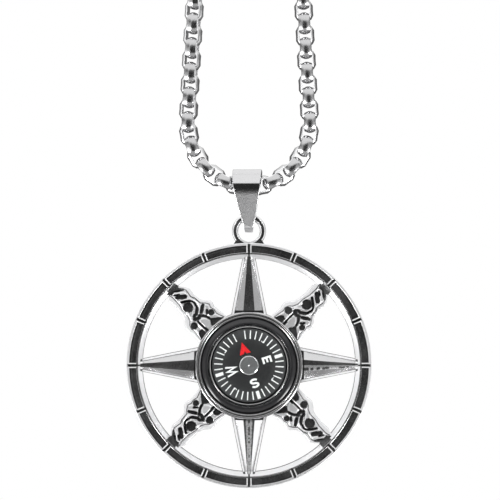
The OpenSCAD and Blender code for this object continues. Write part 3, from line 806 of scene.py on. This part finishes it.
def makeMarks():
    # Ticks every ten degrees and three letters whose tops point outwards, as ribbons on the card
    g = dialSize
    shape = Shape()

    def mark(path, half, clockwise, drop=0.0):
        # One ribbon, drawn as at north and turned clockwise from it by degrees
        box = ribbon(path, half, g["low"], g["top"] - drop)
        shape.addGrid(stood(turned(box, g["turn"] - clockwise)), caps=True)

    for k in range(1, 36):
        kind = "main" if k % 9 == 0 else "tick"
        mark([(0, g[kind + "In"]), (0, g["tickOut"])], g[kind + "Half"], 10 * k)
    for angle in (45, 135, 225, 315):      # the small hooks beside the half-way ticks
        mark(g["hook"], g["hookHalf"], angle, g["drop"])
    h, s, r = g["letterHigh"] / 2, g["stroke"] / 2, g["letterR"]
    e, w, f = g["eHalf"], g["wHalf"], g["wFoot"]
    mark([(e, r + h - s), (s - e, r + h - s), (s - e, r - h + s), (e, r - h + s)], s, 90)
    mark([(2 * s - e - 0.02, r), (e - 0.12, r)], s, 90, g["drop"])
    # the S is an arc and the same arc upside down
    turn = math.radians(25) + np.linspace(0, 1, 14) * math.radians(245)
    arc = (h - s) / 2
    upper = np.stack([g["sHalf"] * np.cos(turn), arc + arc * np.sin(turn)], -1)
    mark(np.concatenate([upper, -upper[-2::-1]]) + [0, r], s, 180)
    mark([(-w, r + h), (-f, r - h), (0, r + h * 0.8), (f, r - h), (w, r + h)], s * 0.92, 270)
    makePiece("dialMarks", shape, "compass_card", inkWhite, ["card"])


makeCard()
makeMarks()
repaint("north_arrow", inkRed)


# Hub, disc with a raised edge and a small centre dot: radius, height, fillet
capSize = {"corners": [(0.42, 0.3, 0.05), (0.8, 0.3, 0.05), (0.8, 1.06, 0.02), (1.76, 1.06, 0.04),
                       (1.76, 1.29, 0.02), (1.64, 1.36, 0.01), (1.59, 1.3, 0.02), (0.2, 1.3, 0.05),
                       (0.1, 1.36, 0.03), (0, 1.36, 0), (0, 1.17, 0), (0.42, 1.17, 0.02)],
           "edgeIn": 1.6, "dotOut": 0.15, "turns": 96}


def capMaterial():
    # Satin metal, brushed round its own centre
    material, shop = newMaterial("capMetal")
    rings = shop.math("SINE", shop.fromAxis() * 60000.0) * 0.5 + 0.5
    spots = shop.noise(0.4, detail=3.0)
    satin = shop.attribute("satin")
    brushed = shop.mixColour(spots, (0.2, 0.2, 0.202, 1), (0.34, 0.34, 0.342, 1))
    shop.principled({
        "Base Color": shop.mixColour(satin, (0.85, 0.85, 0.855, 1), brushed), "Metallic": 0.75,
        "Roughness": (spots * 0.12 + rings * 0.04 + 0.3) * satin + 0.12,
        "Normal": shop.bump(rings * 0.3 + spots, 0.08, 0.01)})
    return material


def makeCap():
    # A closed (radius, height) profile carried round
    profile = filleted(capSize["corners"])
    flat = (profile[:, 0] <= capSize["edgeIn"]) & (profile[:, 0] >= capSize["dotOut"])
    makePiece("pivotCap", spun(profile, capSize["turns"], satin=flat), "compass_card",
              capMaterial(), ["pivot_cap"])


makeCap()


lensSize = {"radius": 7.6, "low": 1.67, "thick": 0.64, "wall": 0.35, "shoulder": 7.17,
            "glintIn": 7.07, "glintOut": 7.15, "turns": 240}


def glassMaterial():
    # Clear pane, laid over with gloss by the angle of sight, and a painted highlight: a thin matt
    # grey ring where the lens's edge shines
    material, shop = newMaterial("lensClear")
    clear = shop.add("ShaderNodeBsdfTransparent", sockets={"Color": (0.97, 0.98, 0.98, 1)})
    gloss = shop.add("ShaderNodeBsdfGlossy", sockets={"Color": (1, 1, 1, 1), "Roughness": 0.03})
    facing = shop.add("ShaderNodeLayerWeight", sockets={"Blend": 0.5}, out=1)
    sight = facing ** 5.0 * 0.96 + 0.04
    pane = shop.add("ShaderNodeMixShader", sockets={0: sight, 1: clear, 2: gloss})
    # painted highlight: a matt grey ring that stands for the shine of the lens's edge
    paintedGlint = shop.add("ShaderNodeBsdfPrincipled", sockets={
        "Base Color": (0.4, 0.4, 0.4, 1), "Roughness": 0.35})
    satin = shop.attribute("satin")
    shop.output(shop.add("ShaderNodeMixShader", sockets={0: satin, 1: pane, 2: paintedGlint}))
    return material


def makeLens():
    # A flat disc carried round, with a thin ring of painted highlight round its face and a rounded
    # shoulder
    g = lensSize
    low, top = g["low"], g["low"] + g["thick"]
    profile = filleted([
        (0, low, 0), (g["radius"], low, 0.05), (g["radius"], low + g["wall"], 0.1),
        (g["shoulder"], top - 0.03, 0.03), (7.13, top, 0.02), (7.09, top, 0), (7.06, top, 0),
        (0, top, 0)])
    r, z = profile.T
    # where the painted highlight's ring lies on the lens's face
    ring = (r > g["glintIn"]) & (r < g["glintOut"]) & (z > top - 0.02)
    makePiece("lensGlass", spun(profile, g["turns"], satin=ring), "pendant", glassMaterial(),
              ["lens"])


makeLens()


bailSize = {"radius": 3.0, "thick": 0.5, "leafStart": 13, "leafEnd": 1.5, "leafDrop": 7.5,
            "tipHalf": 0.55, "tipDrop": 8.38, "yaw": -3.5, "lean": -0.3, "corner": 0.09,
            # height over the roll's centre, half width
            "halfWidth": [(-8.5, 0.6), (-8.2, 0.72), (-7.5, 0.86), (-5.57, 1.41), (-1.5, 2.24),
                          (-0.35, 2.43), (2.4, 2.66), (3.1, 2.68)],
            "backShare": 0.74}      # width of the leaf behind, as a share of the one in front


def brushedMaterial():
    # Fine scratches that run down the strip, over satin metal
    material, shop = newMaterial("bailBrushed")
    scratches = shop.noise(0.09, stretch=(1, 1, 0.02), detail=3.0, roughness=0.7)
    broad = shop.noise(1.6, stretch=(1, 1, 0.3), detail=1.0)
    satin = shop.attribute("satin")
    shop.principled({
        "Base Color": shop.mixColour(shop.between(scratches, 0.3, 0.7), grey(0.62), grey(0.73)),
        "Metallic": 1.0, "Roughness": 0.1 + (scratches * 0.16 + broad * 0.05 + 0.25) * satin,
        "Normal": shop.bump(scratches * (0.15 + 0.85 * satin), 0.12, 0.01)})
    return material


def makeBail():
    # A rounded box section carried along the strip's side view: leaf, roll over the top, leaf.
    # Its half width follows the height
    g = bailSize
    r, inner = g["radius"] - g["thick"] / 2, g["thick"] / 2
    start = math.radians(-g["leafStart"])
    roll = np.linspace(start, math.pi - start, 61)
    roll = r * np.stack([np.cos(roll), np.sin(roll)], -1)
    t = np.linspace(0, 1, 26)[1:, None]
    down = roll[-1] * (1 - t) + np.array([inner - g["leafEnd"], -g["leafDrop"]]) * t
    t = np.linspace(0, 1, 7)[1:, None]
    toTip = down[-1] * (1 - t) + np.array([inner - g["tipHalf"], -g["tipDrop"]]) * t
    halfPath = np.concatenate([roll[30:], down, toTip])
    path = np.concatenate([halfPath[::-1] * [-1, 1], halfPath])      # tip, over the top, tip
    path = path[np.concatenate([[True], np.linalg.norm(np.diff(path, axis=0), axis=1) > 1e-6])]
    along = unit(np.gradient(path, axis=0))
    outward = np.stack([along[:, 1], -along[:, 0]], -1)
    depth, height = path[:, [0]], path[:, [1]]
    half = np.interp(height, *np.array(g["halfWidth"]).T)
    behind = smooth(-0.5, 2.6, depth) * (1 - smooth(-1.5, 1.0, height))
    half = half * (1 - (1 - g["backShare"]) * behind)
    c = g["corner"]
    arc = np.linspace(0, math.pi / 2, 4)
    past = c * 0.4      # a further point on the flat beside each corner
    cx = np.concatenate([[c], c * np.cos(arc), [-past]])
    cy = np.concatenate([[-past], c * np.sin(arc), [c]])
    cx, cy = np.concatenate([cx, -cy, -cx, cy]), np.concatenate([cy, cx, -cy, -cx])
    sx, sy = np.repeat([1, -1, -1, 1], 6), np.repeat([1, 1, -1, -1], 6)
    x = sx * (half - c) + cx + g["lean"] * smooth(-8.3, 1.0, height)
    thick = sy * (inner - c) + cy
    y = depth + outward[:, [0]] * thick
    z = height + outward[:, [1]] * thick + rollZ
    satin = 1 - smooth(-1.9, -0.2, height)      # the roll is polished, the leaves are brushed
    shape = Shape().addGrid(turned(np.stack([x, y, z], -1), g["yaw"]), caps=True, satin=satin)
    makePiece("foldedBail", shape, "bail", brushedMaterial(), ["bail"])


makeBail()


chainSize = {
    "length": 500.0, "links": 220, "claspLink": 123, "claspReach": 2,
    # hanging form: radius of the lowest curve and of the one beside it, how far the strands lean
    # inwards in degrees, over what length, and the radius in which they grow parallel again
    "curve": 10.8, "side": 12.2, "lean": 3.2, "leanLength": 30.0, "back": 400.0,
    # twist of the strands in degrees, and where along them it grows and is undone
    "left": 14.0, "right": 3.0, "twistStart": 45.0, "twistEnd": 70.0, "untwist": 60.0}
linkSize = {
    "inner": 0.26, "crown": 0.35, "foot": 1.1,
    # a quarter of the strip's centre line, from the side's middle to the end's:
    # along, across, half breadth
    "quarter": [(0.0, 1.33, 0.96), (0.85, 1.37, 1.03), (1.38, 1.06, 1.05), (1.63, 0.6, 1.0)],
    "dome": [(0.95, 0.28), (0.27, 0.0)]}      # share of the half breadth, drop below the crown


def walk(distance, table):
    # Position and heading at a distance along arcs and straight pieces, each (length, turn)
    x, z, heading = (np.zeros_like(distance) for _ in range(3))
    start = 0.0
    for length, turn in table:
        t = np.clip(distance - start, 0, length)
        if turn == 0:
            x, z = x + t * np.cos(heading), z + t * np.sin(heading)
        else:
            r, after = length / turn, heading + turn * t / length
            x = x + r * (np.sin(after) - np.sin(heading))
            z = z - r * (np.cos(after) - np.cos(heading))
            heading = after
        start += length
    return x, z, heading


def chainStates(s):
    # Centre line of half of the loop, from its lowest point to the peg
    g = chainSize
    first, lean = math.radians(45), math.radians(g["lean"])
    pieces = [(g["curve"] * first, first), (g["side"] * (first + lean), first + lean),
              (g["leanLength"], 0.0), (g["back"] * lean, -lean)]
    lowLength = sum(length for length, _ in pieces)
    pegRadius = walk(np.array([lowLength]), pieces)[0][0]
    quarter = pegRadius * math.pi / 2
    pieces += [(g["length"] / 2 - lowLength - quarter, 0.0), (quarter, math.pi / 2)]
    return walk(s, pieces)


def makeLink():
    # A closed strip carried round the four mirrored quarters of its centre line: waisted at the
    # middle of the sides, narrow over the ends, and domed outside
    g = linkSize
    quarter = np.array(g["quarter"])
    side = np.concatenate([quarter[:0:-1] * [-1, 1, 1], quarter])         # one side, end to end
    ring = np.concatenate([side, side[::-1] * [1, -1, 1]])
    along, across, broad = ring[:, 0], ring[:, 1], ring[:, 2]
    chord = np.roll(ring[:, :2], -1, 0) - np.roll(ring[:, :2], 1, 0)
    out = unit(np.stack([-chord[:, 1], chord[:, 0]], -1))
    out *= np.sign((out * ring[:, :2]).sum(1, keepdims=True))
    dome = np.array(g["dome"])
    face = np.concatenate([dome, dome[::-1] * [-1, 1]]) * [1, -1] + [0, g["crown"]]
    section = np.concatenate([[(-g["foot"], -g["inner"]), (g["foot"], -g["inner"])], face])
    lift = section[None, :, 1]
    return np.stack([along[:, None] + out[:, [0]] * lift, across[:, None] + out[:, [1]] * lift,
                     broad[:, None] * section[None, :, 0]], -1)


def makeChain():
    # The link is repeated at each place of the centre line, every other one a quarter turn on
    g = chainSize
    index = np.arange(g["links"])
    index = index[np.abs(index - g["claspLink"]) > g["claspReach"]]
    s = index * g["length"] / g["links"]
    rightHand = s <= g["length"] / 2
    h = np.where(rightHand, s, g["length"] - s)
    x, z, heading = chainStates(h)
    x, heading = np.where(rightHand, x, -x), np.where(rightHand, heading, -heading)
    twist = np.where(rightHand, -g["right"], g["left"]) * smooth(0, g["twistStart"], h)
    twist = twist * (1 - smooth(0, g["untwist"], h - g["twistEnd"]))
    twist = np.radians(twist + np.where(index % 2 == 0, 90, 0))
    link = makeLink()
    a, c, b = (link[..., k].ravel()[None] for k in range(3))
    ct, st = np.cos(twist)[:, None], np.sin(twist)[:, None]
    ch, sh = np.cos(heading)[:, None], np.sin(heading)[:, None]
    y, up = b * ct - c * st, b * st + c * ct
    points = np.stack([x[:, None] + a * ch - up * sh, y,
                       chainLow + z[:, None] + a * sh + up * ch], -1)
    faces = gridFaces(link.shape[0], link.shape[1], True, True)
    # the strip's inner side is frosted, its domed face is polished
    satin = np.broadcast_to([1, 1] + [0] * (link.shape[1] - 2), link.shape[:2]).ravel()
    shape = Shape().addCopies(points, faces, satin=satin)
    makePiece("boxChain", shape, "root", chainMetal, ["chain"], 38)


makeChain()
repaint("clasp", metalMaterial("claspMetal", {**chainLook, "allSatin": 0.5}))


studio = {
    # the camera, in millimetres: width of the frame at the pendant's face, lens, and aim
    "frameWide": 91.835, "focal": 200.0, "sensor": 36.0,
    "photoUp": 21.195, "photoRight": 0.184, "faceY": -1.3,
    "floorZ": -0.335, "floorRadius": 0.44,      # in metres
    "sun": 2.8, "sunTurn": (65, 0, -20)}
# How bright the tent is in each part that metal mirrors
tent = {"round": 1.68, "above": 1.1, "below": 0.22, "shoulder": 0.58, "flank": 0.8, "front": 0.58,
        "flag": 0.12, "glow": 4.0, "spot": 18.0, "gap": 0.03, "behind": 0.14,
        "spotSide": 0.66, "spotDown": 0.56, "gapWide": 0.48, "gapHigh": 0.42, "gapDrop": 0.12}


def makeStudio():
    # Camera, sun and floor. The camera's distance is that at which the lens shows frameWide
    camera = bpy.data.objects.new("camera", bpy.data.cameras.new("camera"))
    camera.data.lens, camera.data.sensor_width = studio["focal"], studio["sensor"]
    distance = studio["frameWide"] / 2 / (studio["sensor"] / 2 / studio["focal"])
    camera.location = (studio["photoRight"] * millimetre, (studio["faceY"] - distance) * millimetre,
                       (ringZ + studio["photoUp"]) * millimetre)
    camera.rotation_euler = (math.radians(90), 0, 0)
    camera.data.clip_start, camera.data.clip_end = 0.01, 50
    scene.collection.objects.link(camera)
    scene.camera = camera
    scene.view_settings.view_transform = "Standard"

    # A sun for paint and frosted metal: mirrors don't show it
    sun = bpy.data.objects.new("sun", bpy.data.lights.new("sun", "SUN"))
    sun.data.energy, sun.data.angle = studio["sun"], math.radians(40)
    sun.rotation_euler = [math.radians(a) for a in studio["sunTurn"]]
    sun.visible_glossy = False
    scene.collection.objects.link(sun)

    mesh = bpy.data.meshes.new("floor")
    around = wholeTurn(96)
    rim = np.stack([np.cos(around), np.sin(around), 0 * around], -1) * studio["floorRadius"]
    mesh.from_pydata((rim + [0, 0, studio["floorZ"]]).tolist(), [], [list(range(96))])
    material, shop = newMaterial("floorPaper")
    x, y, _ = shop.parts(shop.place())
    glow = shop.between(shop.math("SQRT", x * x + y * y), 0.1, studio["floorRadius"] * 0.95)
    shop.principled({"Base Color": (0.9, 0.9, 0.9, 1), "Roughness": 0.9,
                     "Emission Color": shop.level(glow), "Emission Strength": 1.0})
    mesh.materials.append(material)
    floor = bpy.data.objects.new("floor", mesh)
    scene.collection.objects.link(floor)
    floor.visible_glossy = False


def makeWorld():
    # A light tent, given by what metal mirrors in each direction: x right, y away from the camera,
    # z up. Each layer is laid over those before it by its own mask
    world = bpy.data.worlds.new("tent")
    world.use_nodes = True
    scene.world = world
    shop = Shop(world.node_tree)
    x, y, z = shop.parts(shop.add("ShaderNodeTexCoord", out=0))
    side = shop.math("ABSOLUTE", x)

    def below(value, low, high):
        # 1 below low, 0 above high
        return 1 - shop.between(value, low, high)

    def inside(value, low, high, soft):
        # 1 between low and high, with soft edges
        return shop.between(value, low - soft, low + soft) * below(value, high - soft, high + soft)

    ahead = shop.between(y * -1.0, 0.0, 0.3)
    gap = (x / tent["gapWide"]) ** 4.0 + ((z + tent["gapDrop"]) / tent["gapHigh"]) ** 4.0
    spot = shop.math("SQRT", (side - tent["spotSide"]) ** 2.0 + (z + tent["spotDown"]) ** 2.0)
    layers = [
        (shop.between(z, 0.05, 0.4), "above"),
        (shop.between(z * -1.0, 0.72, 0.86) * shop.between(y, -0.35, -0.15), "below"),
        (shop.between(side, 0.78, 0.9) * inside(z, 0.06, 0.45, 0.05), "shoulder"),
        (shop.between(side, 0.88, 0.97) * shop.between(y, -0.13, 0.0), "flank"),
        # grey front, wide above, narrower below the middle and narrowest at the bottom
        (ahead * inside(z, -0.08, 0.3, 0.06), "front"),
        (ahead * inside(z, -0.25, 0.0, 0.06) * below(side, 0.84, 0.93), "front"),
        (ahead * inside(z, -1.1, 0.0, 0.08) * below(side, 0.42, 0.55), "front"),
        # dark flags high at both sides, and lamps low at both sides
        (ahead * inside(z, 0.1, 0.38, 0.05) * inside(side, 0.6, 0.85, 0.05), "flag"),
        (ahead * inside(z, -0.75, -0.42, 0.07) * inside(side, 0.52, 0.84, 0.06), "glow"),
        (ahead * below(spot, 0.1, 0.2), "spot"),
        # the gap round the camera, and the shade behind the pendant
        (ahead * below(gap, 0.5, 1.4), "gap"),
        (shop.between(y, 0.35, 0.6) * below(z, 0.3, 0.5), "behind"),
    ]
    tone = shop.math("ADD", tent["round"], 0.0)
    for mask, name in layers:
        tone = tone + mask * (tent[name] - tone)
    lit = shop.add("ShaderNodeBackground", sockets={"Color": shop.level(tone), "Strength": 1.0})
    white = shop.add("ShaderNodeBackground", sockets={"Color": (1, 1, 1, 1), "Strength": 1.0})
    seen = shop.add("ShaderNodeLightPath", out=0)
    mixed = shop.add("ShaderNodeMixShader", sockets={0: seen, 1: lit, 2: white})
    shop.output(mixed, "ShaderNodeOutputWorld")


makeStudio()
makeWorld()
print("studio done")
